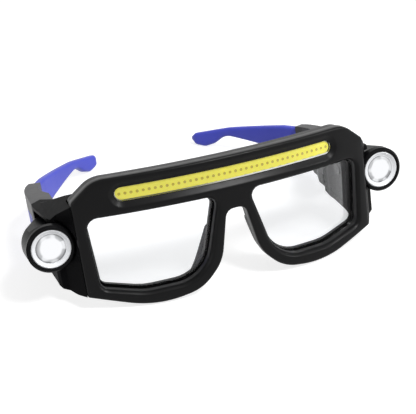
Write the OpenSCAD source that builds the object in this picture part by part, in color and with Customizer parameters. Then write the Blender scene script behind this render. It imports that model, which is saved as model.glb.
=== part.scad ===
// Work glasses with a light strip in the brow and a tilting lamp on each side.
// The pieces are drawn as they are worn: X to the wearer's left, Y from the front
// towards the ears, Z up, with Z = 0 at the lamp axes and Y = 0 at the bridge's face.
// resting() then leans them back until the rims and the temple tips share a table.

/* [Front] */
// Radius that the front wraps round the face, seen from above
face_r = 235; // [180:5:400]
// Half width of the front, where the end pieces begin
face_half = 69.2; // [62:0.2:77]
// Level of the brow's top edge
brow_top = 27.5; // [26:0.5:30]
// Depth of the front shell
front_depth = 5; // [4.6:0.1:5.4]
// Depth of both shells together at the brow
brow_depth = 10; // [9.6:0.1:12]
// Depth of both shells together round the lenses
rim_depth = 8.6; // [8.4:0.1:9.4]
// Wall of the two shells round the hollow brow
shell_wall = 1.2; // [1:0.1:1.5]

/* [Lenses] */
// Half the bridge, at the top of the lenses
bridge_half = 8.4; // [7.8:0.1:8.8]
// Width of the frame beside a lens
rim_side = 5.8; // [5.4:0.1:8]
// Top edge of a lens opening
lens_top = 9.6; // [8:0.2:10.4]
// Bottom edge of a lens opening
lens_low = -25.2; // [-26:0.2:-23]
// Lens thickness
lens_t = 1.6; // [1.2:0.1:1.8]
// How far the front shell's opening steps back from the lens opening
opening_step = 0.9; // [0.5:0.1:1.4]
// Running width of the ring that holds a lens from behind
retainer_w = 2; // [1.6:0.1:2]

/* [Light strip] */
// Level of the light strip's centre line
strip_z = 19.4; // [19:0.1:19.8]
// Distance from an end of the lit strip to the end of the front
strip_end = 18.5; // [18:0.1:24]
// Height of the lit strip
strip_h = 5.9; // [5:0.1:6.4]
// Margin of the sloped recess round the strip
recess_margin = 2.5; // [1.5:0.1:2.7]
// Depth of the sloped recess
recess_depth = 1.7; // [1.2:0.1:1.9]
// Number of light chips in the strip
chip_count = 39; // [21:2:39]

/* [Side lamps] */
// How far a lamp's axis lies outside the front
lamp_reach = 10.8; // [10.6:0.1:12]
// Radius of a lamp's front ring
lamp_r = 10.6; // [10:0.1:10.8]
// Radius of the white ring inside it
trim_r = 8.55; // [8:0.05:8.7]
// Radius of the lamp lens
optic_r = 6.6; // [6:0.1:7]
// How far a lamp's face lies behind the end of the front
lamp_set = 4; // [3.4:0.1:4.6]
// Length of a lamp from its face to its tail
lamp_l = 31; // [29:0.5:31.5]
// Radius of the round button on a lamp
button_r = 3.4; // [2.8:0.1:3.8]
// Travel of that button
button_travel = 0.7; // [0.4:0.1:0.8]

/* [End pieces and temples] */
// How far the temples stand outside the front
side_reach = 12; // [11.4:0.1:13.4]
// Level of the flat eave over a lamp
eave_z = 10.9; // [10.6:0.1:11.6]
// Thickness of the eave
eave_t = 1.5; // [1.2:0.1:1.8]
// Distance from a lamp's tail to the hinge pin behind it
hinge_gap = 6.6; // [6:0.1:9]
// Distance from the temple's outer face to the hinge pin
hinge_inset = 11.2; // [10.6:0.1:11.6]
// Radius of a hinge knuckle
knuckle_r = 3; // [2.6:0.1:3.2]
// Radius of a hinge pin
pin_r = 1; // [0.8:0.1:1.2]
// Length of a temple's black front part behind the hinge
temple_l = 41; // [38:0.5:46]
// Thickness of the blue arm
arm_t = 4.6; // [4:0.2:4.8]
// How far the arms turn inwards, from the junction to the tips
arm_turn = 18.8; // [14:0.2:20]

/* [Hidden] */

// Fits: a hair between pieces that are clamped together, more where one slides
seat = 0.05;
slip = 0.1;
clear = 0.3;

// Places that follow from the sizes above
lens_out = face_half - rim_side;
strip_l = 2 * (face_half - strip_end);
chip_end = 2.06;
chip_pitch = (strip_l - 2 * chip_end) / (chip_count - 1);
side_y = face_y(face_half);
side_out = face_half + side_reach;
lamp_front = side_y + lamp_set;
hinge_y = lamp_front + lamp_l + hinge_gap;
hinge_x = side_out - hinge_inset;
junction_y = hinge_y + temple_l;

// Fineness of drawn arcs, of round solids and of the few blended hulls
arc_step = 9;
$fn = 96;
hull_fn = 32;

// Outlines of the front, as corners [x, z, rounding radius], anticlockwise
lens_corners = [[bridge_half, lens_top, 3], [bridge_half + 7.4, lens_low + 8.2, 16], [bridge_half + 15.3, lens_low + 0.6, 16],
  [0.694 * lens_out, lens_low, 25], [lens_out - 1.6, lens_low + 4.6, 3.2], [lens_out, lens_top, 4]];
arch_top = 3.6;
rim_low = lens_low - 7.4;
half_corners = [[4.4, arch_top, 4], [9.2, -19.2, 20], [19.5, rim_low + 2.8, 20], [0.5925 * face_half, rim_low - 0.8, 50],
  [face_half, -24.2, 3.4], [face_half, 18.7, 3], [face_half - 10.6, brow_top, 13]];
front_corners = concat(half_corners, [for (i = [len(half_corners) - 1:-1:0])
  [-half_corners[i][0], half_corners[i][1], half_corners[i][2]]]);

// Depths behind the face, from front to back
window_at = recess_depth;
window_t = 0.8;
phosphor_t = 0.8;
board_t = 1;
board_at = window_at + window_t + phosphor_t;
front_wall = window_at + 0.9;
lip_t = front_depth - 0.4;
lens_at = lip_t + seat;
retainer_at = lens_at + lens_t + seat;
lens_step = 2;

// Lamp datum
lamp_x = face_half + lamp_reach;
pivot_y = lamp_front + 16.6;
pocket_wall_x = face_half - 0.6;
inner_wall_x = pocket_wall_x - 3.2;
pivot_r = 1.5;

// Temple datum
temple_low_front = -18.2;
arm_r = 235;
junction_turn = 26;
shoulder_r = 45;
shoulder_y = junction_y - shoulder_r * sin(junction_turn);

// The lean that brings rims and temple tips down to one table
tip_low = [junction_y + 55.8, -4.19];
rim_back = [rim_depth + 3.8, rim_low + 1.2];
lean = atan((tip_low[1] - rim_back[1]) / (tip_low[0] - rim_back[0]));
row_y = 73.23;
row_z = rim_back[0] * sin(lean) - rim_back[1] * cos(lean);

black = "#1d1d1f";
grey = "#3a3a3e";
blue = "#3b46d8";
steel = "#b9bcc2";

// Helpers for outlines
function unit(v) = v / norm(v);
function turned(v, a) = [v[0] * cos(a) - v[1] * sin(a), v[0] * sin(a) + v[1] * cos(a)];
function wrap_index(i, n) = (i + n) % n;
function flat(p) = [p[0], p[1]];
function arc_at(a, p, b, r) =
  let (u = unit(a - p), v = unit(b - p), half = acos(max(-1, min(1, u * v))) / 2, reach = r / tan(half),
       c = p + unit(u + v) * r / sin(half), s = p + u * reach - c, way = sign(cross(s, p + v * reach - c)),
       n = max(1, ceil((180 - 2 * half) / arc_step)))
  [for (i = [0:n]) c + turned(s, way * (180 - 2 * half) * i / n)];
function rounded(c) = let (n = len(c))
  [for (i = [0:n - 1]) each c[i][2] <= 0 ? [flat(c[i])] :
    arc_at(flat(c[wrap_index(i - 1, n)]), flat(c[i]), flat(c[wrap_index(i + 1, n)]), c[i][2])];
function outward(a, b) = let (u = unit(b - a)) [u[1], -u[0]];
function miter(a, p, b) = let (m = outward(a, p), k = outward(p, b)) (m + k) / (1 + m * k);
function grown(c, d) = let (n = len(c))
  [for (i = [0:n - 1]) let (a = flat(c[wrap_index(i - 1, n)]), p = flat(c[i]), b = flat(c[wrap_index(i + 1, n)]),
    q = p + d * miter(a, p, b), r = c[i][2] + d * sign(cross(p - a, b - p))) [q[0], q[1], max(0, r)]];
function lens_outline(d = 0) = rounded(grown(lens_corners, d));

// The wrapped face: its depth at x, and solids that follow it
function face_y(x, depth = 0) = face_r - sqrt(pow(face_r - depth, 2) - x * x);
module along_y(y0, y1) translate([0, y1, 0]) rotate([90, 0, 0]) linear_extrude(y1 - y0) children();
module wrap(near, far) translate([0, face_r, -40]) difference() {
  cylinder(r = face_r - near, h = 80, $fn = 360);
  translate([0, 0, -1]) cylinder(r = face_r - far, h = 82, $fn = 360);
}
module wrapped(near, far) intersection() {
  along_y(-4, 40) children();
  wrap(near, far);
}
// Turns children, drawn at the bridge, round the wrap axis to x
module at_face(x) translate([0, face_r, 0]) rotate([0, 0, asin(x / face_r)]) translate([0, -face_r, 0]) children();

// Shapes shared by the light strip's pieces
module racetrack(l, h) {
  square([l - h, h], center = true);
  for (s = [-1, 1]) translate([s * (l - h) / 2, 0]) circle(d = h);
}
module strip_slab(l, h, near, t) wrapped(near, near + t) translate([0, strip_z]) racetrack(l, h);

// Sloped recess round the strip: a groove with two round ends, a hair wider than it
module strip_recess() {
  cap = (strip_l - strip_h) / 2;
  angle = asin(cap / face_r);
  lift = 1;
  half_in = strip_h / 2;
  half_out = half_in + recess_margin * (1 + lift / recess_depth);
  hair = 0.03;
  for (s = [-1, 1]) at_face(s * cap) translate([0, recess_depth, strip_z]) rotate([90, 45, 0])
    cylinder(r1 = half_in + hair, r2 = half_out + hair, h = recess_depth + lift);
  translate([0, face_r, strip_z]) rotate([0, 0, -90 - angle]) rotate_extrude(angle = 2 * angle, $fn = 360)
    polygon([[face_r - recess_depth, -half_in], [face_r + lift, -half_out], [face_r + lift, half_out],
      [face_r - recess_depth, half_in]]);
}

// Places that hold a shell screw, and the boss round each
low_screw_x = 0.542 * face_half;
screw_spots = [[-face_half + 8.4, 14.5], [face_half - 8.4, 14.5], [0, 9.4], [-low_screw_x, lens_low - 4],
  [low_screw_x, lens_low - 4]];
screw_r = 0.8;
screw_head_r = 1.3;
screw_back = rim_depth - 1.1;
module screw_at(p) translate([p[0], face_y(p[0]), p[1]]) rotate([-90, 0, 0]) children();

// Hollow inside the brow, between the two shells
hollow_low = lens_top + 4.6;
module brow_hollow(near, far) wrapped(near, far) difference() {
  translate([-face_half + 14, hollow_low]) square([2 * (face_half - 14), brow_top - shell_wall - hollow_low]);
  translate([0, 9.4]) circle(r = 5.4);
}

module both(side) if (side > 0) children(); else mirror([1, 0, 0]) children();

// The end pieces' tongues, clamped between the shells by the outer screws
tongue_in = face_half - 11.6;
tongue_low = 12.4;
tongue_high = 16.7;
module tongue(gap) wrapped(front_depth + 0.1 - gap, front_depth + 1.6 + gap) translate([tongue_in - gap, tongue_low - gap])
  square([face_half - tongue_in + 2 * gap + 0.6, tongue_high - tongue_low + 2 * gap]);

module front_shell() color(black) difference() {
  wrapped(0, front_depth) polygon(rounded(front_corners));
  for (s = [-1, 1]) both(s) {
    wrapped(-2, front_depth + 1) polygon(lens_outline(opening_step));
    wrapped(lip_t, front_depth + 1) polygon(lens_outline(lens_step + slip));
  }
  strip_recess();
  strip_slab(strip_l + 2 * slip, strip_h + 2 * slip, window_at - 0.6, 2);
  brow_hollow(front_wall, front_depth + 1);
  for (p = screw_spots) screw_at(p) translate([0, 0, 2]) cylinder(r = screw_r, h = 20);
}

module rear_shell() color(black) difference() {
  union() {
    wrapped(front_depth, rim_depth) polygon(rounded(grown(front_corners, -0.5)));
    wrapped(front_depth, brow_depth) intersection() {
      polygon(rounded(grown(front_corners, -0.5)));
      translate([-face_half - 5, lens_top + 3.6]) square([2 * face_half + 10, 40]);
    }
  }
  for (s = [-1, 1]) both(s) {
    wrapped(front_depth - 1, brow_depth + 1) polygon(lens_outline(lens_step + slip));
    tongue(seat);
  }
  brow_hollow(front_depth - 1, brow_depth - shell_wall);
  for (p = screw_spots) screw_at(p) {
    cylinder(r = screw_r + slip, h = 30);
    translate([0, 0, screw_back]) cylinder(r = screw_head_r + slip, h = 20);
  }
  socket_place() translate([0, 0, -6]) linear_extrude(12) racetrack(socket_w + 2 * slip, socket_h + 2 * slip);
  flap_place() flap_pit();
}

module shell_screws() color(steel) for (p = screw_spots) screw_at(p) difference() {
  union() {
    translate([0, 0, 2.6]) cylinder(r = screw_r - 0.02, h = screw_back - 2.6);
    translate([0, 0, screw_back]) cylinder(r = screw_head_r, h = 0.9);
  }
  translate([0, 0, screw_back + 0.5]) for (a = [0, 90]) rotate([0, 0, a]) cube([1.8, 0.4, 1], center = true);
}

module lens(side) color("white", 0.25) both(side) wrapped(lens_at, lens_at + lens_t) polygon(lens_outline(lens_step));

module lens_retainer(side) color(black) both(side) difference() {
  wrapped(retainer_at, rim_depth - 0.2) polygon(lens_outline(lens_step));
  wrapped(retainer_at - 1, rim_depth + 1) polygon(lens_outline(lens_step - retainer_w));
}

module strip_window() color("white", 0.4)
  strip_slab(strip_l + slip, strip_h + slip, window_at, window_t);
module strip_phosphor() color("#f0e65a") difference() {
  strip_slab(strip_l - 1, strip_h - 0.6, window_at + window_t, phosphor_t);
  chips(0.02);
}
module chips(gap) for (i = [0:chip_count - 1])
  at_face((i - (chip_count - 1) / 2) * chip_pitch) translate([0, board_at - chip_t / 2, strip_z])
    cube([0.9 + gap, chip_t + gap, 0.6 + gap], center = true);
chip_t = 0.4;
module strip_chips() color("#b8a93a") chips(0);
module strip_board() color("silver") strip_slab(strip_l - 0.4, strip_h + 2.4, board_at, board_t);

// Electronics in the brow
board_back = board_at + board_t;
module driver_board() color("darkgreen") {
  translate([-14, board_back + 0.6, hollow_low + 0.7]) cube([28, 1, 10]);
  for (x = [-11, -3]) translate([x, board_back + 1.6, hollow_low + 3]) cube([5, 1, 5]);
}
battery_in = 18;
battery = [face_half - 19.2 - battery_in, 2.8, 10.4];
module battery_cell(side) color("lightslategray") both(side) at_face(battery_in + battery[0] / 2)
  translate([-battery[0] / 2, brow_depth - shell_wall - battery[1] - slip, hollow_low + slip]) cube(battery);

// Charging socket in the back of the brow, under a rubber flap
socket_x = 9.2;
socket_w = 8.9;
socket_h = 3.2;
socket_z = 19.6;
socket_l = 2.8;
module socket_place() translate([socket_x, face_y(socket_x, brow_depth) - 1, socket_z]) rotate([90, 0, 0]) children();
module charging_socket() color(steel) translate([0, -0.3, 0]) socket_place() difference() {
  linear_extrude(socket_l) racetrack(socket_w, socket_h);
  translate([0, 0, -1]) linear_extrude(socket_l) difference() {
    racetrack(socket_w - 0.7, socket_h - 0.7);
    square([6.4, 0.7], center = true);
  }
}
flap_w = 15;
flap_h = 6;
flap_t = 0.9;
flap_sunk = 0.5;
flap_hinge = flap_w / 2 - 0.6;
module flap_place() translate([socket_x, face_y(socket_x, brow_depth), socket_z]) children();
module flap_pit() {
  translate([-flap_w / 2 - clear, -flap_sunk, -flap_h / 2 - clear]) cube([flap_w + 2 * clear, 4, flap_h + 2 * clear]);
}
module charging_flap() color(grey) flap_place() {
  translate([-flap_w / 2 + 0.4, seat - flap_sunk, -flap_h / 2]) cube([flap_hinge + flap_w / 2 - 0.4, flap_t, flap_h]);
  translate([flap_hinge, seat - flap_sunk + flap_t / 2, -flap_h / 2]) cylinder(r = flap_t / 2, h = flap_h);
}

// Nose pads: soft blades that follow the nose side of each rim
module nose_pad(side) color(grey) both(side) {
  stations = [[6.6, -4.5, 1.2], [9.6, -13, 2], [13, -21, 2.4], [17.4, -26.6, 1.6]];
  for (i = [0:len(stations) - 2]) hull() for (k = [i, i + 1]) {
    p = stations[k];
    back = face_y(p[0] + 1, rim_depth);
    translate([p[0] + 1, back + seat + 1.3, p[1]]) sphere(r = 1.3, $fn = 16);
    translate([p[0] + 2.6, back + 6.6, p[1] - 0.6]) sphere(r = p[2], $fn = 16);
  }
}

// End piece: side wall, cheek round the lamp, eave over it, and the hinge block, which ends in
// a wedge that points backwards
wedge = [side_out - 4.9, hinge_y + 4.6];
leaf_gap = 0.15;
eave_tip = lamp_front + 7.6;
module end_plan() polygon([[face_half + seat, side_y + 0.6], [face_half + 8, side_y + 9.2],
  [face_half + 9.4, side_y + 13.6], [side_out, hinge_y - 6], [side_out, hinge_y - leaf_gap], wedge,
  [hinge_x + 1, hinge_y - leaf_gap], [inner_wall_x + 2, hinge_y - leaf_gap], [inner_wall_x, hinge_y - 10],
  [inner_wall_x, face_y(inner_wall_x, brow_depth) + 0.3], [face_half + seat, face_y(face_half, brow_depth) + 0.6]]);
module end_front() polygon([[inner_wall_x - 4, 19.2], [face_half, 17.6], [face_half + 8, eave_z], [side_out + 1, eave_z],
  [side_out + 1, -30], [inner_wall_x - 4, -30]]);
module end_side() polygon([[0, 18.6], [side_y + 1, 18.6], [pivot_y, eave_z], [hinge_y + 10, eave_z],
  [hinge_y + 10, -16], [pivot_y + 1, -16.4], [side_y + 10, -16.9], [side_y + 8.6, -20.4], [side_y - 2, -23.4], [0, -24]]);
module along_x(x0, x1) translate([x0, 0, 0]) rotate([90, 0, 90]) linear_extrude(x1 - x0) children();

module end_piece(side) color(black) both(side) difference() {
  union() {
    intersection() {
      translate([0, 0, -40]) linear_extrude(80) end_plan();
      along_y(0, hinge_y + 20) end_front();
      along_x(inner_wall_x - 10, side_out + 10) end_side();
    }
    tongue(0);
    for (z = knuckle_levels) translate([hinge_x, hinge_y, z[0]]) cylinder(r = knuckle_r, h = z[1] - z[0]);
  }
  lamp_pocket();
  open_below();
  translate([hinge_x, hinge_y, -30]) cylinder(r = pin_r + 0.03, h = 60);
  translate([hinge_x, hinge_y, knuckle_levels[0][1]])
    cylinder(r = knuckle_r + clear, h = knuckle_levels[1][0] - knuckle_levels[0][1]);
  translate([inner_wall_x - 2, pivot_y, 0]) rotate([0, 90, 0]) cylinder(r = pivot_r + 0.05, h = 8);
  translate([inner_wall_x - 1, pivot_y, 0]) rotate([0, 90, 0]) cylinder(r = 3.1, h = 1.9);
  screw_at(screw_spots[1]) cylinder(r = screw_r + slip, h = 30);
}
// Levels of the end piece's two knuckles; the temple's knuckle lies between them
knuckle_levels = [[-13, -8], [2, 7.5]];
// Round pocket for the lamp, taller than it so that its front can tilt upwards
module lamp_pocket() {
  pocket_r = lamp_r + 0.8;
  intersection() {
    for (lift = [0, 1.2]) translate([0, 0, lift]) lamp_turn(pocket_r, pocket_r, 0, hinge_y - 4);
    translate([face_half - 20, 0, -30]) cube([80, hinge_y, 30 + eave_z - eave_t]);
  }
  for (lift = [0, 1.1, 2.2]) translate([0, 0, lift]) lamp_turn(lamp_r + 0.5, lamp_r + 0.5, 0, eave_tip);
  translate([pocket_wall_x, pivot_y, 0]) rotate([0, 90, 0]) cylinder(r = 4.3, h = 8);
}
// The lamp's tail hangs free: below it only the inner wall goes on
module open_plan(back) polygon([[face_half + 9, eave_tip + 2], [face_half + 1.4, pivot_y + 3], [face_half + 1.4, back],
  [side_out + 10, back], [side_out + 10, eave_tip + 2]]);
module open_below() {
  translate([0, 0, -40]) linear_extrude(28) open_plan(hinge_y + 20);
  translate([0, 0, -13]) linear_extrude(13) open_plan(hinge_y - 4);
}

module hinge_pin(side) color(steel) both(side) translate([hinge_x, hinge_y, knuckle_levels[0][0] - 0.4])
  cylinder(r = pin_r, h = knuckle_levels[1][1] - knuckle_levels[0][0] + 0.8);

// Temple: a black front part, straight and then turning in, and a soft blue arm
// whose front end is plugged into it and held by a screw from the inside
shoulder_c = [side_out - shoulder_r, shoulder_y];
core_r = shoulder_r - 3;
plug_from = 9;
function shoulder_at(r, a) = shoulder_c + [r * cos(a), r * sin(a)];
module temple_plan() {
  inner = side_out - 10.4;
  polygon(concat([[inner, hinge_y + leaf_gap], [wedge[0], wedge[1] + 2 * leaf_gap], [side_out, hinge_y + leaf_gap]],
    [for (i = [0:6]) shoulder_at(shoulder_r, junction_turn * i / 6)],
    [for (i = [3:-1:0]) shoulder_at(shoulder_r - 6.2 - 1.3 * (3 - i) / 3, junction_turn * i / 3)],
    [[inner, shoulder_y - 8]]));
}
module temple_side() polygon([[hinge_y, eave_z], [junction_y - 4, eave_z - 0.7], [junction_y + 4, eave_z - 1.2],
  [junction_y + 2, 1], [junction_y - 8, -4], [junction_y - 16, -14], [hinge_y, temple_low_front]]);

arm_c = shoulder_at(core_r - arm_r, junction_turn);
function arm_at(r, a) = arm_c + r * [cos(a), sin(a)];
function arm_edge(d) = concat([for (i = [0:4]) shoulder_at(core_r + d, plug_from + (junction_turn - plug_from) * i / 4)],
  [for (i = [1:10]) arm_at(arm_r + d, junction_turn + arm_turn * i / 10)]);
function reversed(v) = [for (i = [len(v) - 1:-1:0]) v[i]];
module arm_plan(gap) polygon(concat(arm_edge(arm_t / 2 + gap), reversed(arm_edge(-arm_t / 2 - gap))));
// Side view of the arm, drawn across the direction arm_look, with its neck and bulb
arm_look = 40;
arm_corners = [[-70, 8.6, 0], [-70, -6.8, 0], [-54, -6.2, 8], [-32, -2.6, 30], [-5.5, 2.6, 12], [2.5, -2.6, 6],
  [9, -4.4, 5], [17.6, -2.8, 4], [17.2, 3.4, 2.6], [-8, 7, 60], [-46, 9.4, 30]];
module arm_solid(gap) intersection() {
  translate([0, 0, -40]) linear_extrude(80) arm_plan(gap);
  translate([arm_c[0], arm_c[1], 0]) rotate([0, 0, arm_look]) along_x(arm_r - 20, arm_r + 20)
    polygon(rounded(grown(arm_corners, gap)));
}
// Wing of the arm that runs forwards along the outside of the temple, low down
wing_t = 2.4;
wing_top = 2.5;
wing_from = hinge_y + 9;
module arm_wing(gap) intersection() {
  translate([0, 0, -40]) linear_extrude(80) temple_plan();
  translate([0, 0, wing_top + gap - 40]) linear_extrude(40) polygon(concat([[side_out - wing_t - gap, wing_from - gap],
    [side_out + 5, wing_from - gap]], [for (i = [0:6]) shoulder_at(shoulder_r + 5, junction_turn * i / 6)],
    [for (i = [6:-1:0]) shoulder_at(shoulder_r - wing_t - gap, junction_turn * i / 6)]));
  along_x(40, side_out + 10) temple_side();
}
plug_r = core_r - arm_t / 2;
module temple_screw_at() translate([shoulder_c[0], shoulder_c[1], 1]) rotate([0, 0, 17]) rotate([0, 90, 0])
  translate([0, 0, plug_r]) children();

module temple_front(side) color(black) both(side) difference() {
  union() {
    intersection() {
      translate([0, 0, -40]) linear_extrude(80) temple_plan();
      along_x(40, side_out + 10) temple_side();
    }
    translate([hinge_x, hinge_y, knuckle_levels[0][1] + slip])
      cylinder(r = knuckle_r, h = knuckle_levels[1][0] - knuckle_levels[0][1] - 2 * slip);
  }
  arm_solid(seat);
  arm_wing(seat);
  temple_screw_at() {
    translate([0, 0, -2]) cylinder(r = 0.75, h = 3);
    translate([0, 0, -4]) cylinder(r = 1.5, h = 3.5);
  }
  translate([hinge_x, hinge_y, -30]) cylinder(r = pin_r + 0.03, h = 60);
  for (z = knuckle_levels) translate([hinge_x, hinge_y, z[0] - clear])
    cylinder(r = knuckle_r + clear, h = z[1] - z[0] + 2 * clear);
}
module temple_arm(side) color(blue) both(side) difference() {
  union() {
    arm_solid(0);
    arm_wing(0);
  }
  temple_screw_at() translate([0, 0, -1]) cylinder(r = 0.72, h = 4);
}
module temple_screw(side) color(steel) both(side) temple_screw_at() {
  translate([0, 0, -0.6]) cylinder(r = 0.7, h = 3.4);
  translate([0, 0, -1.2]) cylinder(r = 1.4, h = 0.65);
}

// Side lamps, drawn for the wearer's left
module lamp_turn(r1, r2, y0, y1) translate([lamp_x, y0, 0]) rotate([-90, 0, 0]) cylinder(r1 = r1, r2 = r2, h = y1 - y0);
lip_l = 3;
body_front = lamp_front + lip_l;
bore_r = lamp_r - 1.5;
bore_l = 4.2;
tube_r = 7;
bore_end = lamp_front + 14.6;
roof = eave_z - eave_t - 1.4;
module lamp_housing(side) color(black) both(side) difference() {
  intersection() {
    hull() {
      $fn = hull_fn * 2;
      lamp_turn(lamp_r, lamp_r, body_front, body_front + 4);
      lamp_turn(lamp_r + 0.5, lamp_r + 0.5, body_front + 8, body_front + 9);
      translate([lamp_x - 1.8, lamp_front + lamp_l - 4, 0.4]) rotate([-90, 0, 0]) cylinder(r1 = 7.4, r2 = 6, h = 4);
    }
    along_x(lamp_x - 30, lamp_x + 30) polygon([[0, 20], [body_front - 1, 12.4], [body_front + 3, roof], [lamp_front + lamp_l + 1, roof - 1],
      [lamp_front + lamp_l + 1, -30], [0, -30]]);
    translate([pocket_wall_x + 0.5, 0, -30]) cube([60, 80, 60]);
  }
  lamp_turn(bore_r, bore_r, 0, lamp_front + bore_l);
  lamp_turn(tube_r, tube_r, 0, bore_end);
  translate([0, pivot_y, 0]) rotate([0, 90, 0]) cylinder(r = pivot_r + 0.05, h = lamp_x - 6);
  button_place() translate([0, 0, -2 - button_travel - slip]) cylinder(r = button_r + slip, h = 8);
  button_place() translate([0, 0, -5.6 - slip]) cylinder(r = 1.6 + slip, h = 4);
}
module lamp_bezel(side) color(black) both(side) translate([lamp_x, lamp_front, 0]) rotate([-90, 0, 0])
  rotate_extrude() polygon([[trim_r + seat, 0.5], [trim_r + 0.5, 0], [lamp_r - 0.9, 0], [lamp_r, 0.9], [lamp_r, lip_l - seat],
    [bore_r - seat, lip_l - seat], [bore_r - seat, bore_l - seat], [trim_r + seat, bore_l - seat]]);
module lamp_trim(side) color("whitesmoke") both(side) translate([lamp_x, lamp_front, 0]) rotate([-90, 0, 0])
  rotate_extrude() polygon([[trim_r, 0.7], [trim_r - 0.4, 0.5], [optic_r + 0.3, 1.5], [optic_r + seat, 1.5],
    [optic_r + seat, 2.4], [3.4, 8.4], [3.4, 9], [tube_r - seat, 9], [tube_r - seat, bore_l - seat],
    [trim_r, bore_l - seat]]);
module lamp_lens(side) color("white", 0.5) both(side) translate([lamp_x, lamp_front, 0]) rotate([-90, 0, 0])
  rotate_extrude() polygon([[0, 0.9], [2.2, 1], [4.2, 1.25], [optic_r, 1.8], [optic_r, 2.3], [3.3, 8.3], [2.6, 8.6],
    [2.2, 6.8], [0, 6.4]]);
module lamp_emitter(side) color("yellow") both(side) lamp_turn(1.7, 1.7, lamp_front + 7.6, lamp_front + 9.2 - seat);
module lamp_board(side) color("silver") both(side) lamp_turn(tube_r - 0.1, tube_r - 0.1, lamp_front + 9.2, lamp_front + 10.4);
module heat_sink(side) color("silver") both(side) difference() {
  lamp_turn(tube_r - seat, tube_r - seat, lamp_front + 10.4 + seat, bore_end - seat);
  for (i = [-2:2]) translate([lamp_x + i * 2.4, bore_end - 0.6, 0]) cube([1, 4, 20], center = true);
}
// The pivot screw turns in the side wall and carries the lamp
module lamp_pivot(side) color(steel) both(side) translate([inner_wall_x - 0.9, pivot_y, 0]) rotate([0, 90, 0]) {
  cylinder(r = 2.9, h = 1.7);
  cylinder(r = pivot_r, h = lamp_x - 8 - inner_wall_x);
}
module friction_washer(side) color(steel) both(side) translate([pocket_wall_x + 0.1, pivot_y, 0]) rotate([0, 90, 0])
  difference() {
    cylinder(r = 4, h = 0.3);
    translate([0, 0, -1]) cylinder(r = pivot_r + 0.05, h = 3);
  }
// Round button under the lamp's tail, pressed upwards
module button_place() translate([lamp_x - 1.2, lamp_front + 21, -8.4]) rotate([180, 0, 0]) children();
module lamp_button(side) color(grey) both(side) button_place() translate([0, 0, -2]) cylinder(r = button_r, h = 3);
module lamp_switch(side) color(steel) both(side) button_place() translate([0, 0, -5.6]) cylinder(r = 1.6, h = 2.8);

// Leans the worn glasses back on to the table
module resting() translate([0, -row_y, row_z]) rotate([-lean, 0, 0]) children();

resting() front_shell();
resting() rear_shell();
resting() lens(-1);  // right_lens
resting() lens(1);  // left_lens
resting() lens_retainer(-1);  // right_lens_retainer
resting() lens_retainer(1);  // left_lens_retainer
resting() strip_window();
resting() strip_phosphor();
resting() strip_chips();
resting() strip_board();
resting() driver_board();
resting() battery_cell(-1);  // right_battery
resting() battery_cell(1);  // left_battery
resting() charging_socket();
resting() charging_flap();
resting() shell_screws();
resting() nose_pad(-1);  // right_nose_pad
resting() nose_pad(1);  // left_nose_pad
resting() end_piece(-1);  // right_end_piece
resting() end_piece(1);  // left_end_piece
resting() hinge_pin(-1);  // right_hinge_pin
resting() hinge_pin(1);  // left_hinge_pin
resting() temple_front(-1);  // right_temple_front
resting() temple_front(1);  // left_temple_front
resting() temple_arm(-1);  // right_temple_arm
resting() temple_arm(1);  // left_temple_arm
resting() temple_screw(-1);  // right_temple_screw
resting() temple_screw(1);  // left_temple_screw
resting() lamp_housing(-1);  // right_lamp_housing
resting() lamp_housing(1);  // left_lamp_housing
resting() lamp_bezel(-1);  // right_lamp_bezel
resting() lamp_bezel(1);  // left_lamp_bezel
resting() lamp_trim(-1);  // right_lamp_trim
resting() lamp_trim(1);  // left_lamp_trim
resting() lamp_lens(-1);  // right_lamp_lens
resting() lamp_lens(1);  // left_lamp_lens
resting() lamp_emitter(-1);  // right_lamp_emitter
resting() lamp_emitter(1);  // left_lamp_emitter
resting() lamp_board(-1);  // right_lamp_board
resting() lamp_board(1);  // left_lamp_board
resting() heat_sink(-1);  // right_heat_sink
resting() heat_sink(1);  // left_heat_sink
resting() lamp_pivot(-1);  // right_lamp_pivot
resting() lamp_pivot(1);  // left_lamp_pivot
resting() friction_washer(-1);  // right_friction_washer
resting() friction_washer(1);  // left_friction_washer
resting() lamp_switch(-1);  // right_lamp_switch
resting() lamp_switch(1);  // left_lamp_switch
resting() lamp_button(-1);  // right_lamp_button
resting() lamp_button(1);  // left_lamp_button
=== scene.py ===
# %% [markdown]
# # Work glasses with a light strip and two side lamps
#
# The real object is a pair of black plastic glasses. A yellow light strip is sunk into the brow, a small
# torch-like lamp sits outside each lens, and the temples end in soft blue ear arms. The solids of every
# piece are already made and packed, in metres, in one shared frame. This lesson dresses them. Each piece
# gets its finish, and the few pieces whose rounded forms plain solids can't show are modelled again.

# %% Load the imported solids
import math

import bmesh
import bpy
import numpy as np
from mathutils import Matrix, Vector
from mathutils.geometry import delaunay_2d_cdt


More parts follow.
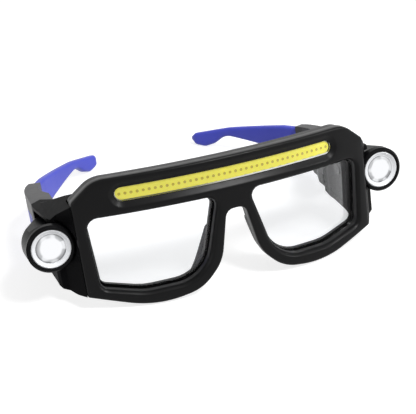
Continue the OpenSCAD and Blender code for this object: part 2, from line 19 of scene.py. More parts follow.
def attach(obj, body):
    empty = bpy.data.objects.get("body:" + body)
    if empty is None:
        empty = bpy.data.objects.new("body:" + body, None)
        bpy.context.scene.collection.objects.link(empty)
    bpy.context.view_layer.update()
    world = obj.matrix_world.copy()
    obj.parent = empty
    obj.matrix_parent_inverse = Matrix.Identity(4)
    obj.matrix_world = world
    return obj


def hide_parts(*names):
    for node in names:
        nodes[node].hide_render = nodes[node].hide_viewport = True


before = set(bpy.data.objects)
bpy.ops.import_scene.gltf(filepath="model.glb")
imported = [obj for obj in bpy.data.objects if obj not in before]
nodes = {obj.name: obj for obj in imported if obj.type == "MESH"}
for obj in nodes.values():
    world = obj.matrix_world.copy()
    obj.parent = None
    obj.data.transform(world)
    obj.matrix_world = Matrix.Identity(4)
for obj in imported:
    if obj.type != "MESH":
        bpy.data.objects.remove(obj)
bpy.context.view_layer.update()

# %% [markdown]
# ## From the worn glasses to the table
#
# A maker thinks of glasses as they are worn: X to the wearer's left, Y from the front towards the ears, Z
# up, in millimetres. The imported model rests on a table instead, on its rims and its temple tips, so it
# leans back a little. Drawing each piece in the leaning frame would be hard to follow. One function turns
# worn points into table points instead, and every piece below is drawn with it.

# %% Lean worn points on to the table
MM = 0.001
TEMPLE_TIP_LOW = (148.82, -4.19)
RIM_BACK_LOW = (12.4, -31.4)
LEAN = math.atan((TEMPLE_TIP_LOW[1] - RIM_BACK_LOW[1]) / (TEMPLE_TIP_LOW[0] - RIM_BACK_LOW[0]))
SHIFT_Y = 73.23
SHIFT_Z = RIM_BACK_LOW[0] * math.sin(LEAN) - RIM_BACK_LOW[1] * math.cos(LEAN)


def table_points(worn):
    """Worn millimetres, one row a point, as table metres."""
    x, y, z = np.asarray(worn, float).reshape(-1, 3).T
    ahead = y * math.cos(LEAN) + z * math.sin(LEAN) - SHIFT_Y
    height = z * math.cos(LEAN) - y * math.sin(LEAN) + SHIFT_Z
    return np.stack([x, ahead, height], 1) * MM


print("lean", round(math.degrees(LEAN), 2), "degrees")

# %% [markdown]
# ## Camera
#
# The picture looks at the glasses from the wearer's right and from above, and it is rolled a few degrees.
# A camera could be aimed by eye, but a roll and a lens are hard to guess. Here they were found by matching
# known points of the frame, so the place, the two directions and the lens are given as numbers.

# %% Place the camera
CAMERA_PLACE = (-0.11471, -0.37486, 0.21582)
CAMERA_RIGHT = (0.9335, -0.352332, -0.066627)
CAMERA_FORWARD = (0.279207, 0.830803, -0.481467)
camera_data = bpy.data.cameras.new("photo_camera")
camera_data.sensor_width = 36
camera_data.lens = 73.56
camera_data.clip_start = 0.01
camera = bpy.data.objects.new("photo_camera", camera_data)
bpy.context.scene.collection.objects.link(camera)
right = Vector(CAMERA_RIGHT).normalized()
forward = Vector(CAMERA_FORWARD).normalized()
turned = Matrix((right, right.cross(forward), -forward)).transposed().to_4x4()
camera.matrix_world = Matrix.Translation(CAMERA_PLACE) @ turned
bpy.context.scene.camera = camera
bpy.context.scene.view_settings.view_transform = "Standard"
print("camera looks along", [round(v, 3) for v in forward])

# %% [markdown]
# ## Floor and light
#
# Product pictures of black plastic are lit by soft lamps. The brightest hangs high in front, so that the
# slopes under the light strip turn grey while the upright front stays black. A very bright world would
# make the background white too, but it would wash out the black. So the floor and the world are white only
# where the camera sees them, also in reflections and through clear plastic, and they light the object only
# a little.


# %% Helpers for node trees
def new_node(tree, kind, **settings):
    """Adds a node and sets its plain properties."""
    node = tree.nodes.new(kind)
    for key, value in settings.items():
        setattr(node, key, value)
    return node


def feed(tree, slot, value):
    """Links a socket into the slot, or sets the slot to plain numbers."""
    if isinstance(value, bpy.types.NodeSocket):
        tree.links.new(value, slot)
    else:
        slot.default_value = value


def math_node(tree, operation, *values):
    """The result of a maths node on sockets and numbers."""
    node = new_node(tree, "ShaderNodeMath", operation=operation)
    for slot, value in zip(node.inputs, values):
        feed(tree, slot, value)
    return node.outputs[0]


def shader_mix(tree, share, first, second):
    """Two shaders mixed by a share."""
    node = new_node(tree, "ShaderNodeMixShader")
    for slot, value in zip(node.inputs, (share, first, second)):
        feed(tree, slot, value)
    return node.outputs[0]


def seen_directly(tree):
    """A socket that is 1 for camera, mirrored and see-through rays."""
    path = new_node(tree, "ShaderNodeLightPath").outputs
    either = math_node(tree, "MAXIMUM", path["Is Camera Ray"], path["Is Transmission Ray"])
    return math_node(tree, "MAXIMUM", either, path["Is Glossy Ray"])


# %% White world
WORLD_LIGHT = 0.35
world = bpy.data.worlds.new("studio")
bpy.context.scene.world = world
world.use_nodes = True
sky = world.node_tree
sky.nodes.clear()
lit = new_node(sky, "ShaderNodeBackground")
lit.inputs["Strength"].default_value = WORLD_LIGHT
shown = new_node(sky, "ShaderNodeBackground")
shown.inputs["Color"].default_value = (1, 1, 1, 1)
world_output = new_node(sky, "ShaderNodeOutputWorld")
feed(sky, world_output.inputs[0], shader_mix(sky, seen_directly(sky), lit.outputs[0], shown.outputs[0]))
print("world light", WORLD_LIGHT)

# %% White floor that keeps the shadow
FLOOR_HALF, FLOOR_GREY, FLOOR_GLOW = 4, 0.5, 0.78
floor_corners = [(FLOOR_HALF * x, FLOOR_HALF * y, 0) for x, y in ((-1, -1), (1, -1), (1, 1), (-1, 1))]
floor_mesh = bpy.data.meshes.new("floor")
floor_mesh.from_pydata(floor_corners, [], [(0, 1, 2, 3)])
floor = bpy.data.objects.new("floor", floor_mesh)
bpy.context.scene.collection.objects.link(floor)
floor_paint = bpy.data.materials.new("floor_paint")
floor_paint.use_nodes = True
floor_mesh.materials.append(floor_paint)
ground = floor_paint.node_tree
ground.nodes.clear()
matt = new_node(ground, "ShaderNodeBsdfDiffuse")
matt.inputs["Color"].default_value = (FLOOR_GREY, FLOOR_GREY, FLOOR_GREY, 1)
glow = new_node(ground, "ShaderNodeEmission")
glow.inputs["Strength"].default_value = FLOOR_GLOW
both = new_node(ground, "ShaderNodeAddShader")
feed(ground, both.inputs[0], matt.outputs[0])
feed(ground, both.inputs[1], glow.outputs[0])
floor_output = new_node(ground, "ShaderNodeOutputMaterial")
white_where_seen = shader_mix(ground, seen_directly(ground), matt.outputs[0], both.outputs[0])
feed(ground, floor_output.inputs[0], white_where_seen)
print("floor", 2 * FLOOR_HALF, "m wide")


# %% Softboxes
def softbox(name, place, aim_height, width, height, watts):
    """Hangs a rectangular lamp at a place, facing a point above the middle of the floor."""
    data = bpy.data.lights.new(name, "AREA")
    data.shape = "RECTANGLE"
    data.size = width
    data.size_y = height
    data.energy = watts
    lamp = bpy.data.objects.new(name, data)
    bpy.context.scene.collection.objects.link(lamp)
    lamp.location = place
    aim = Vector((0, 0, aim_height))
    lamp.rotation_euler = (aim - Vector(place)).to_track_quat("-Z", "Y").to_euler()


softbox("front_top_softbox", (0.25, -0.45, 0.73), 0.02, 0.24, 0.18, 5.5)
softbox("left_softbox", (-0.9, -0.25, 0.35), 0.03, 0.2, 0.3, 0.7)
softbox("right_softbox", (0.75, -0.5, 0.45), 0.03, 0.2, 0.3, 3.0)
softbox("back_softbox", (0.2, 0.9, 0.6), 0.03, 0.8, 0.4, 0.5)

# %% [markdown]
# ## Finishes
#
# Moulded plastic is never one flat colour. A photographed texture would show that, but it would need a
# file and would stretch over the curved pieces, so the finishes are built from patterns in space. Each
# starts from one Principled shader. Three small patterns are added: broad, faint changes of colour, an
# uneven gloss, and a fine moulded grain as a bump. The Bevel node rounds the highlight along each sharp
# edge, and where that rounding bends the surface, a painted highlight makes the edge a little paler.


# %% Patterns and mixes
def own_place(tree):
    """The place on the piece, in metres."""
    return new_node(tree, "ShaderNodeTexCoord").outputs["Object"]


def noise(tree, place, scale, detail):
    """A cloudy pattern from 0 to 1."""
    node = new_node(tree, "ShaderNodeTexNoise")
    node.inputs["Scale"].default_value = scale
    node.inputs["Detail"].default_value = detail
    tree.links.new(place, node.inputs["Vector"])
    return node.outputs["Fac"]


def ramp(tree, value, starts, ends, low=0, high=1, kind="SMOOTHSTEP"):
    """Goes from low to high while the value goes from starts to ends, and stays there outside."""
    node = new_node(tree, "ShaderNodeMapRange", interpolation_type=kind)
    tree.links.new(value, node.inputs["Value"])
    for name, number in (("From Min", starts), ("From Max", ends), ("To Min", low), ("To Max", high)):
        node.inputs[name].default_value = number
    return node.outputs["Result"]


def colour_mix(tree, share, first, second):
    """Two colours mixed by a share. Each colour is a socket or four numbers."""
    node = new_node(tree, "ShaderNodeMix", data_type="RGBA")
    for name, value in (("Factor", share), ("A", first), ("B", second)):
        feed(tree, node.inputs[name], value)
    return node.outputs["Result"]


# %% A finish with grain, uneven gloss and painted highlights along its edges
FINISHES = {}
BROAD_SCALE, CLOUDY_SCALE = 45, 260
GLOSS_CHANGE, LEAST_ROUGH = 0.06, 0.02
# Where the painted edge highlight starts and ends, and how much paler it is.
HIGHLIGHT_STARTS, HIGHLIGHT_ENDS = 0.995, 0.8
HIGHLIGHT_GAIN, HIGHLIGHT_LIFT = 1.5, 0.06


def finish(name, colour, rough, grain=0.25, grain_depth=0.004, round_mm=0.35, edge_highlight=0.25, drift=0.12,
           **sockets):
    """A procedural finish. Sizes are millimetres, and sockets are plain values of the shader."""
    material = bpy.data.materials.new(name)
    FINISHES[name] = material
    material.use_nodes = True
    tree = material.node_tree
    shader = tree.nodes["Principled BSDF"]
    shader.inputs["Base Color"].default_value = (*colour, 1)
    for key, value in sockets.items():
        shader.inputs[key.replace("_", " ")].default_value = value
    place = own_place(tree)

    darker = (*[c * (1 - drift) for c in colour], 1)
    paler = (*[min(1, c * (1 + drift)) for c in colour], 1)
    tint = colour_mix(tree, noise(tree, place, BROAD_SCALE, 3), darker, paler)

    soft_edge = new_node(tree, "ShaderNodeBevel", samples=4)
    soft_edge.inputs["Radius"].default_value = round_mm * MM
    bend = new_node(tree, "ShaderNodeVectorMath", operation="DOT_PRODUCT")
    feed(tree, bend.inputs[0], soft_edge.outputs[0])
    feed(tree, bend.inputs[1], new_node(tree, "ShaderNodeNewGeometry").outputs["Normal"])
    # Painted highlight: the colour turns paler where the Bevel node bends the normal, along sharp edges.
    worn = ramp(tree, bend.outputs["Value"], HIGHLIGHT_STARTS, HIGHLIGHT_ENDS, 0, edge_highlight, "LINEAR")
    highlight_colour = (*[min(1, c * HIGHLIGHT_GAIN + HIGHLIGHT_LIFT) for c in colour], 1)
    feed(tree, shader.inputs["Base Color"], colour_mix(tree, worn, tint, highlight_colour))

    cloudy = noise(tree, place, CLOUDY_SCALE, 4)
    smoothest = max(LEAST_ROUGH, rough - GLOSS_CHANGE)
    roughness = ramp(tree, cloudy, 0, 1, smoothest, rough + GLOSS_CHANGE, "LINEAR")
    feed(tree, shader.inputs["Roughness"], roughness)

    bump = new_node(tree, "ShaderNodeBump")
    bump.inputs["Strength"].default_value = 0.5
    bump.inputs["Distance"].default_value = grain_depth * MM
    feed(tree, bump.inputs["Height"], noise(tree, place, 1 / (grain * MM), 2))
    feed(tree, bump.inputs["Normal"], soft_edge.outputs[0])
    feed(tree, shader.inputs["Normal"], bump.outputs["Normal"])
    return material


# %% [markdown]
# Some finishes are painted with a pattern that follows the worn glasses, such as the dots of the light
# strip. Unwrapping the pieces would do it too, but a pattern in space needs no unwrapping and stays exact.
# The next helpers measure a point in worn millimetres inside a node tree, and lay a second colour where a
# mask says so.


# %% Measure and paint inside a node tree
def measured(tree, place, direction, start):
    """How far a place lies along a direction, in millimetres from the start."""
    node = new_node(tree, "ShaderNodeVectorMath", operation="DOT_PRODUCT")
    feed(tree, node.inputs[0], place)
    node.inputs[1].default_value = [part / MM for part in direction]
    return math_node(tree, "ADD", node.outputs["Value"], start)


def worn_place(tree):
    """Sockets for the place across, behind the bridge and above the lamp axes, in worn millimetres."""
    place = own_place(tree)
    parts = new_node(tree, "ShaderNodeSeparateXYZ")
    feed(tree, parts.inputs[0], place)
    sine, cosine = math.sin(LEAN), math.cos(LEAN)
    across = math_node(tree, "MULTIPLY", parts.outputs[0], 1 / MM)
    behind = measured(tree, place, (0, cosine, -sine), SHIFT_Y * cosine + SHIFT_Z * sine)
    level = measured(tree, place, (0, sine, cosine), SHIFT_Y * sine - SHIFT_Z * cosine)
    return across, behind, level


def distance(tree, *parts):
    """The length of a flat vector given by its two parts."""
    squares = [math_node(tree, "MULTIPLY", part, part) for part in parts]
    return math_node(tree, "SQRT", math_node(tree, "ADD", *squares))


def colour_now(material):
    """The socket that feeds the base colour so far."""
    return material.node_tree.nodes["Principled BSDF"].inputs["Base Color"].links[0].from_socket


def paint(material, mask, colour):
    """Lays a colour over the base colour where the mask is 1."""
    tree = material.node_tree
    painted = colour_mix(tree, mask, colour_now(material), (*colour, 1))
    feed(tree, tree.nodes["Principled BSDF"].inputs["Base Color"], painted)


def glowing(material, strength):
    """Lets a finish shine in its own colour."""
    shader = material.node_tree.nodes["Principled BSDF"]
    feed(material.node_tree, shader.inputs["Emission Color"], colour_now(material))
    shader.inputs["Emission Strength"].default_value = strength


# %% Black plastic of the frame, and the greyer plastic of the temples
finish("frame_black", (0.003, 0.003, 0.0033), 0.33, Specular_IOR_Level=0.12)
matt_black = finish("matt_black", (0.005, 0.005, 0.0055), 0.4, Specular_IOR_Level=0.012)
finish("temple_grey", (0.024, 0.024, 0.026), 0.42, Specular_IOR_Level=0.3)
finish("lamp_grey", (0.005, 0.005, 0.0055), 0.3, Specular_IOR_Level=0.04)
finish("button_grey", (0.06, 0.06, 0.065), 0.5)
print("plastics", list(FINISHES))

# %% Painted light: grey laid on the inner wall of the end pieces and on the back end of their ridge
PAINTED_LIGHT_GREY = (0.07, 0.07, 0.073)
tree = matt_black.node_tree
across, behind, level = worn_place(tree)
# Painted light: the back end of the ridge and the inner wall are painted grey so that they look lit.
lit_ridge_end = math_node(tree, "MULTIPLY", ramp(tree, level, 11.2, 11.6), ramp(tree, behind, 47, 50))
inside = ramp(tree, math_node(tree, "ABSOLUTE", across), 66.2, 65.7)
paint(matt_black, math_node(tree, "MAXIMUM", lit_ridge_end, inside), PAINTED_LIGHT_GREY)
print("matt black has", len(tree.nodes), "nodes")

# %% Soft rubbers
arm_blue = finish("arm_blue", (0.045, 0.06, 0.55), 0.42, grain=0.5, round_mm=0.8, edge_highlight=0.1,
                  Subsurface_Weight=0.15)
arm_shader = arm_blue.node_tree.nodes["Principled BSDF"]
arm_shader.inputs["Subsurface Radius"].default_value = (0.002, 0.002, 0.006)
finish("pad_rubber", (0.05, 0.05, 0.055), 0.5, round_mm=0.5, edge_highlight=0.05)
finish("flap_rubber", (0.03, 0.03, 0.032), 0.6, round_mm=0.3)
print("finishes so far", len(FINISHES))

# %% Metals, boards and cells
finish("steel", (0.62, 0.63, 0.65), 0.28, round_mm=0.1, edge_highlight=0.0, Metallic=1.0)
finish("black_steel", (0.02, 0.02, 0.021), 0.4, round_mm=0.1, edge_highlight=0.1, Specular_IOR_Level=0.35)
finish("board_metal", (0.7, 0.71, 0.72), 0.35, round_mm=0.1, edge_highlight=0.0, Metallic=1.0)
finish("heat_metal", (0.66, 0.67, 0.69), 0.4, round_mm=0.1, edge_highlight=0.0, Metallic=1.0)
finish("board_green", (0.02, 0.16, 0.06), 0.4, round_mm=0.1, Coat_Weight=0.4)
finish("battery_foil", (0.55, 0.57, 0.6), 0.3, grain=1.5, grain_depth=0.03, Metallic=0.8)
print("finishes so far", len(FINISHES))

# %% [markdown]
# The strip's chips lie under the yellow resin and show through it as a row of darker dots. The chips are
# there as solids, but the resin that hides them is solid too. So the dots are painted on it at the chips'
# own pitch. The resin also glows a little in its own colour, a painted glow that makes it look lit.

# %% Light strip
STRIP_Z, STRIP_L, STRIP_H = 19.4, 101.4, 5.9
CHIPS, CHIP_MARGIN = 39, 4.12
CHIP_PITCH = (STRIP_L - CHIP_MARGIN) / (CHIPS - 1)
DOT_EDGE, DOT_CORE = 0.95, 0.45
phosphor_yellow = finish("phosphor_yellow", (0.86, 0.8, 0.11), 0.5, round_mm=0.1, edge_highlight=0.0, drift=0.05)
tree = phosphor_yellow.node_tree
across, _, level = worn_place(tree)
in_pitches = math_node(tree, "PINGPONG", math_node(tree, "DIVIDE", across, CHIP_PITCH), 0.5)
beside = math_node(tree, "MULTIPLY", in_pitches, CHIP_PITCH)
above = math_node(tree, "SUBTRACT", level, STRIP_Z)
paint(phosphor_yellow, ramp(tree, distance(tree, beside, above), DOT_EDGE, DOT_CORE), (0.46, 0.4, 0.05))
# Painted light: the resin glows a little in its own colour, so that it looks brighter.
glowing(phosphor_yellow, 0.42)
finish("chip_olive", (0.52, 0.42, 0.05), 0.4, round_mm=0.05, edge_highlight=0.0)
print("chip pitch", CHIP_PITCH, "mm")

# %% [markdown]
# The side lamps are lit. A white ring catches the light in front, and a yellow source shines behind the
# lens. Real light bounced about inside would look grainy in so small a space, so both simply glow a
# little.

# %% Lamps
LAMP_X = 80
trim_white = finish("trim_white", (0.7, 0.71, 0.73), 0.22, round_mm=0.15, edge_highlight=0.0, drift=0.03)
glowing(trim_white, 0.2)
emitter_yellow = finish("emitter_yellow", (0.95, 0.9, 0.6), 0.4, round_mm=0.05, edge_highlight=0.0)
glowing(emitter_yellow, 1.5)
print("glowing finishes", [m.name for m in (phosphor_yellow, trim_white, emitter_yellow)])

# %% [markdown]
# The two lenses, the strip's window and the lamp lenses are clear plastic. Thick glass would bend the
# light and darken the thin sheets, so each is a see-through shader with a share of gloss that grows
# towards its edge.


# %% Clear plastics
def clear(name, colour, rough, gloss_share):
    """A thin clear sheet: see-through, with reflections that grow towards its edge."""
    material = bpy.data.materials.new(name)
    FINISHES[name] = material
    material.use_nodes = True
    tree = material.node_tree
    tree.nodes.clear()
    output = new_node(tree, "ShaderNodeOutputMaterial")
    open_air = new_node(tree, "ShaderNodeBsdfTransparent")
    open_air.inputs["Color"].default_value = (*colour, 1)
    gloss = new_node(tree, "ShaderNodeBsdfGlossy")
    gloss.inputs["Roughness"].default_value = rough
    edge = new_node(tree, "ShaderNodeFresnel")
    edge.inputs["IOR"].default_value = 1.4
    share = math_node(tree, "MULTIPLY", edge.outputs[0], gloss_share)
    feed(tree, output.inputs[0], shader_mix(tree, share, open_air.outputs[0], gloss.outputs[0]))
    return material


def lay_over(material, share, shader):
    """Mixes a second shader over the finished material by a share."""
    tree = material.node_tree
    output = next(n for n in tree.nodes if n.bl_idname == "ShaderNodeOutputMaterial")
    below = output.inputs[0].links[0].from_socket
    feed(tree, output.inputs[0], shader_mix(tree, share, below, shader.outputs[0]))


clear("lens_clear", (0.97, 0.975, 0.98), 0.05, 0.6)
strip_clear = clear("strip_clear", (0.98, 0.98, 0.95), 0.12, 0.8)
lamp_clear = clear("lamp_clear", (0.97, 0.98, 1.0), 0.06, 1.0)
print("finishes so far", len(FINISHES))

# %% [markdown]
# The middle of each lit lamp lens looks white, uneven grey patches lie round it, and a grey line follows
# the place where the lens curves down to its rim. All of it depends on the distance from the lamp's axis
# alone, so it is laid over the clear plastic as light of its own.

# %% Light that the lamp lens catches
CORE_R, PATCH_R, LINE_R = (6.0, 4.6), (4.2, 5.4), (5.9, 6.3)
PATCH_SCALE = 240
tree = lamp_clear.node_tree
across, _, level = worn_place(tree)
from_axis = distance(tree, math_node(tree, "SUBTRACT", math_node(tree, "ABSOLUTE", across), LAMP_X), level)
caught = new_node(tree, "ShaderNodeEmission")
caught.inputs["Color"].default_value = (0.97, 0.98, 1.0, 1)
uneven = noise(tree, own_place(tree), PATCH_SCALE, 0)
patches = math_node(tree, "MULTIPLY", ramp(tree, uneven, 0.42, 0.6), 0.5)
depth_of_grey = math_node(tree, "SUBTRACT", 0.6, patches)
outer = math_node(tree, "MULTIPLY", ramp(tree, from_axis, *PATCH_R), depth_of_grey)
rim_line = math_node(tree, "MULTIPLY", ramp(tree, from_axis, *LINE_R), 0.3)
brightness = math_node(tree, "SUBTRACT", math_node(tree, "SUBTRACT", 1.0, outer), rim_line)
feed(tree, caught.inputs["Strength"], math_node(tree, "MAXIMUM", brightness, 0.2))
lay_over(lamp_clear, math_node(tree, "MAXIMUM", ramp(tree, from_axis, *CORE_R), 0.72), caught)
print("lamp lens has", len(tree.nodes), "nodes")

# %% Light along the lower edge of the strip's window
tree = strip_clear.node_tree
across, _, level = worn_place(tree)
below_middle = math_node(tree, "SUBTRACT", STRIP_Z, level)
edge_line = ramp(tree, below_middle, STRIP_H / 2 - 0.55, STRIP_H / 2 - 0.35)
pale = new_node(tree, "ShaderNodeBsdfDiffuse")
pale.inputs["Color"].default_value = (0.75, 0.76, 0.72, 1)
lay_over(strip_clear, math_node(tree, "MULTIPLY", edge_line, ramp(tree, across, -25, 10)), pale)

# %% [markdown]
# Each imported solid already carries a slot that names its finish. So the finishes go on by name, and the
# meshes of the solids stay untouched.

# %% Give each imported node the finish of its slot
for name, node in nodes.items():
    for place in node.material_slots:
        packed = place.material.name.split(".")[0]
        place.link = "OBJECT"
        place.material = FINISHES[packed]
print("slots used", len({s.material.name for n in nodes.values() for s in n.material_slots}))

# %% [markdown]
# ## Front shell
#
# The front is a flat outline wrapped round the face. A solid model has sharp edges there, but on the real
# moulding every edge rolls over, and that is where the light catches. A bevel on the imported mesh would
# trip over its many small faces. So this piece is drawn again as a skin: loops of points follow the
# outline, the two lens openings and the recess of the light strip, each loop a little deeper than the
# last, and the flat areas between them are filled with an even mesh.


# %% Outlines with rounded corners
def unit(v):
    """v at length 1."""
    return v / np.linalg.norm(v)


def rounded(corners, gap=1.6):
    """Corners [x, z, radius], anticlockwise, as closely spaced points."""
    points = []
    for index, (x, z, radius) in enumerate(corners):
        corner = np.array([x, z], float)
        before = unit(np.array(corners[index - 1][:2]) - corner)
        after = unit(np.array(corners[(index + 1) % len(corners)][:2]) - corner)
        half = math.acos(max(-1, min(1, before @ after))) / 2
        centre = corner + unit(before + after) * radius / math.sin(half)
        start = corner + before * radius / math.tan(half) - centre
        turn = math.pi - 2 * half
        way = math.copysign(1, -before[0] * after[1] + before[1] * after[0])
        steps = max(4, math.ceil(turn * radius / gap))
        for step in range(steps + 1):
            angle = way * turn * step / steps
            points.append(centre + [start[0] * math.cos(angle) - start[1] * math.sin(angle),
                                    start[0] * math.sin(angle) + start[1] * math.cos(angle)])
    even = []
    for index, point in enumerate(points):
        following = points[(index + 1) % len(points)]
        pieces = max(1, math.ceil(np.linalg.norm(following - point) / gap))
        if np.linalg.norm(following - point) > 1e-6:
            even += [point + (following - point) * step / pieces for step in range(pieces)]
    return np.array(even)


def shifted(loop, distance):
    """The loop moved outwards by distance."""
    ahead = np.roll(loop, -1, 0) - loop
    ahead /= np.linalg.norm(ahead, axis=1)[:, None]
    along = ahead + np.roll(ahead, 1, 0)
    along /= np.linalg.norm(along, axis=1)[:, None]
    return loop + distance * np.stack([along[:, 1], -along[:, 0]], 1)


def in_area(points, flats):
    """For each point, whether it is inside the first loop and outside the others."""
    inside = np.zeros(len(points), bool)
    for flat in flats:
        ends = np.roll(flat, -1, 0)
        for (x0, z0), (x1, z1) in zip(flat, ends):
            if z0 != z1:
                crosses = (z0 > points[:, 1]) != (z1 > points[:, 1])
                inside ^= crosses & (points[:, 0] < (x1 - x0) * (points[:, 1] - z0) / (z1 - z0) + x0)
    return inside


# %% A skin of bands and filled areas
class Skin:
    """Points in worn millimetres and the faces between them."""

    def __init__(self):
        self.points = []
        self.faces = []

    def loop(self, points):
        """Adds a ring of points and gives their numbers."""
        first = len(self.points)
        self.points += [tuple(p) for p in points]
        return list(range(first, len(self.points)))

    def band(self, near, far):
        """Joins two rings of the same count with four-sided faces."""
        count = len(near)
        for i in range(count):
            j = (i + 1) % count
            self.faces.append((near[i], near[j], far[j], far[i]))

    def bands(self, rings):
        """Joins each ring to the next."""
        for near, far in zip(rings, rings[1:]):
            self.band(near, far)

    def cap(self, ring):
        """Closes a ring with a fan round its middle."""
        middle = np.mean([self.points[i] for i in ring], 0)
        (centre,) = self.loop([middle])
        for i, j in zip(ring, ring[1:] + ring[:1]):
            self.faces.append((i, j, centre))

    def loft(self, rings):
        """Joins the rings and closes both ends."""
        self.bands(rings)
        self.cap(rings[0])
        self.cap(rings[-1])

    def fill(self, flats, rings, place, gap=3.0):
        """Fills the area inside the first flat loop and outside the others. place lifts new points."""
        edges = []
        flat_points = []
        for flat in flats:
            first = len(flat_points)
            flat_points += [tuple(p) for p in flat]
            edges += [(first + i, first + (i + 1) % len(flat)) for i in range(len(flat))]
        border = np.array(flat_points)
        low, high = border.min(0), border.max(0)
        columns = np.arange(low[0], high[0], gap)
        rows = np.arange(low[1], high[1], gap)
        grid = np.stack(np.meshgrid(columns, rows), -1).reshape(-1, 2)
        off_border = np.array([np.min(np.sum((border - g) ** 2, 1)) > (0.55 * gap) ** 2 for g in grid])
        grid = grid[off_border & in_area(grid, flats)]
        numbers = [i for ring in rings for i in ring] + self.loop([place(x, z) for x, z in grid])
        everything = [Vector(p) for p in flat_points + [tuple(g) for g in grid]]
        made, _, triangles, sources, _, _ = delaunay_2d_cdt(everything, edges, [], 0, 1e-7)
        middles = np.array([np.mean([made[i] for i in t], 0) for t in triangles])
        for triangle, keep in zip(triangles, in_area(middles, flats)):
            if keep:
                self.faces.append(tuple(numbers[sources[i][0]] for i in triangle))

    def object(self, name, body, slot, sharp=35):
        """Makes the mesh object, in its finish and riding on its body."""
        mesh = bpy.data.meshes.new(name)
        mesh.from_pydata([tuple(p) for p in table_points(self.points)], [], self.faces)
        work = bmesh.new()
        work.from_mesh(mesh)
        bmesh.ops.remove_doubles(work, verts=work.verts, dist=1e-6)
        bmesh.ops.recalc_face_normals(work, faces=work.faces)
        open_edges = sum(not e.is_manifold for e in work.edges)
        work.to_mesh(mesh)
        work.free()
        mesh.shade_smooth()
        mesh.set_sharp_from_angle(angle=math.radians(sharp))
        mesh.materials.append(FINISHES[slot])
        piece = bpy.data.objects.new(name, mesh)
        bpy.context.scene.collection.objects.link(piece)
        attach(piece, body)
        print(name, "faces", len(mesh.polygons), "open edges", open_edges)
        return piece


# %% The wrapped face
FACE_R = 235
FACE_HALF = 69.2
FRONT_DEPTH, RIM_DEPTH, BROW_DEPTH = 5.0, 8.6, 10.0


def face_y(x, depth=0.0):
    """How far behind the bridge's face the wrapped surface lies at x."""
    return FACE_R - np.sqrt((FACE_R - depth) ** 2 - np.asarray(x, float) ** 2)


def on_face(flat, depth):
    """Flat points [x, z] at a depth under the wrapped face."""
    flat = np.asarray(flat, float)
    return np.stack([flat[:, 0], face_y(flat[:, 0], depth), flat[:, 1]], 1)


def lifted(depth):
    """A function that puts a flat point on the wrapped face at a depth."""
    return lambda x, z: (x, float(face_y(x, depth)), z)


print("the face's edge lies", round(float(face_y(FACE_HALF)), 1), "mm behind the bridge")

# %% Outlines of the front
BROW_TOP = 27.5
LENS_TOP, LENS_LOW = 9.6, -25.2
LENS_IN, LENS_OUT = 8.4, 63.4
LENS_CORNERS = [
    [LENS_IN, LENS_TOP, 3], [LENS_IN + 7.4, LENS_LOW + 8.2, 16], [LENS_IN + 15.3, LENS_LOW + 0.6, 16],
    [44, LENS_LOW, 25], [LENS_OUT - 1.6, LENS_LOW + 4.6, 3.2], [LENS_OUT, LENS_TOP, 4]]
RIM_LOW = LENS_LOW - 7.4
HALF_CORNERS = [
    [4.4, 3.6, 4], [9.2, -19.2, 20], [19.5, RIM_LOW + 2.8, 20], [41, RIM_LOW - 0.8, 50],
    [FACE_HALF, -24.2, 1.2], [FACE_HALF, 18.7, 3], [FACE_HALF - 10.6, BROW_TOP, 13]]
FRONT_LOOP = rounded(HALF_CORNERS + [[-x, z, r] for x, z, r in reversed(HALF_CORNERS)])
LENS_LOOP = rounded(LENS_CORNERS)


def bar_loop(half, low, high, radius, gap=1.6):
    """A rounded bar from -half to half."""
    corners = [(half, low), (half, high), (-half, high), (-half, low)]
    return rounded([[x, z, radius] for x, z in corners], gap)


STRIP_LOW, STRIP_HIGH = STRIP_Z - STRIP_H / 2, STRIP_Z + STRIP_H / 2
STRIP_LOOP = bar_loop(STRIP_L / 2, STRIP_LOW, STRIP_HIGH, STRIP_H / 2 - 0.01, gap=1.2)
HOLLOW_LOOP = bar_loop(FACE_HALF - 14, 14.2, 26.3, 0.6)
HOLLOW_DEPTH = 2.6
print("outline points", len(FRONT_LOOP), len(LENS_LOOP), len(STRIP_LOOP))

# %% [markdown]
# A roll is the shape of an edge, as pairs of how far out a loop lies and how deep. The outline of the
# front rolls over a radius of about a millimetre, a lens opening has a wide soft lip with a step behind it
# for the lens, and the recess of the strip has a long even slope.

# %% Stack the loops of the front shell
OUTER_ROLL = [(-1.1, 0), (-0.7, 0.07), (-0.33, 0.3), (-0.09, 0.66), (0, 1.1), (0, 4.7),
              (-0.25, FRONT_DEPTH)]
LENS_ROLL = [(2.75, 0), (2.45, 0.05), (2.1, 0.25), (1.5, 0.85), (1.15, 1.3), (0.95, 1.8), (0.9, 2.4),
             (0.9, 4.6), (2.1, 4.6), (2.1, FRONT_DEPTH)]
STRIP_ROLL = [(3.2, 0), (2.85, 0.05), (2.5, 0.22), (2.1, 0.48), (0.55, 1.48), (0.25, 1.64), (0.1, 1.7),
              (0.1, HOLLOW_DEPTH)]
lens_loops = [LENS_LOOP, (LENS_LOOP * [-1, 1])[::-1]]
skin = Skin()


def stack(loop, roll):
    """Rings of one outline, each moved and sunk as the roll says."""
    rings = [skin.loop(on_face(shifted(loop, distance), depth)) for distance, depth in roll]
    skin.bands(rings)
    return rings


outer = stack(FRONT_LOOP, OUTER_ROLL)
openings = [stack(loop, LENS_ROLL) for loop in lens_loops]
recess = stack(STRIP_LOOP, STRIP_ROLL)
hollow = [skin.loop(on_face(HOLLOW_LOOP, depth)) for depth in (FRONT_DEPTH, HOLLOW_DEPTH)]
skin.band(*hollow)


